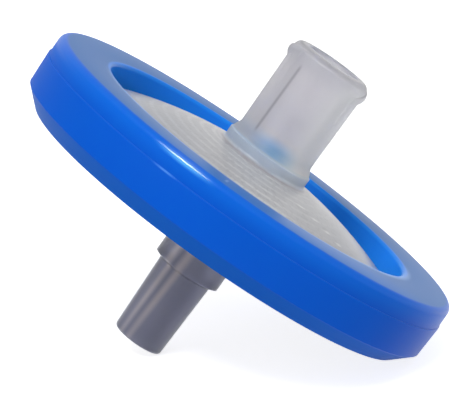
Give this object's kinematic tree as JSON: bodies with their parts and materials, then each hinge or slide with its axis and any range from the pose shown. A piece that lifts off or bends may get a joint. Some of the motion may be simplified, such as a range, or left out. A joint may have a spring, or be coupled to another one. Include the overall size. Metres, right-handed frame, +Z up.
{
  "type": "syringe filter",
  "caption": "Disc syringe filter with a domed translucent housing, a blue overmoulded outer ring, a lugged inlet socket and a tapered outlet tip.",
  "frame": {"origin": "middle of the bounding box in X and Y, on the table surface in Z, as the filter lies at rest on the lower edge of its ring and the end of its outlet tip", "axes": "+Z up from the table, +Y along the ring's level diameter, +X the way the inlet leans; the filter's own axis lies in the XZ plane, 35.4 degrees from +Z towards +X, inlet end up"},
  "size_m": [0.0314, 0.036, 0.0243],
  "materials": {
    "blue_polypropylene": "smooth moulded sides and a slightly matt top face",
    "natural_polypropylene": "uncoloured translucent, smooth moulded",
    "white_membrane": "matt white microporous film"
  },
  "bodies": {
    "root": {"outer_ring": "blue_polypropylene", "inlet_housing": "natural_polypropylene", "outlet_housing": "natural_polypropylene", "membrane": "white_membrane"}
  },
  "joints": []
}
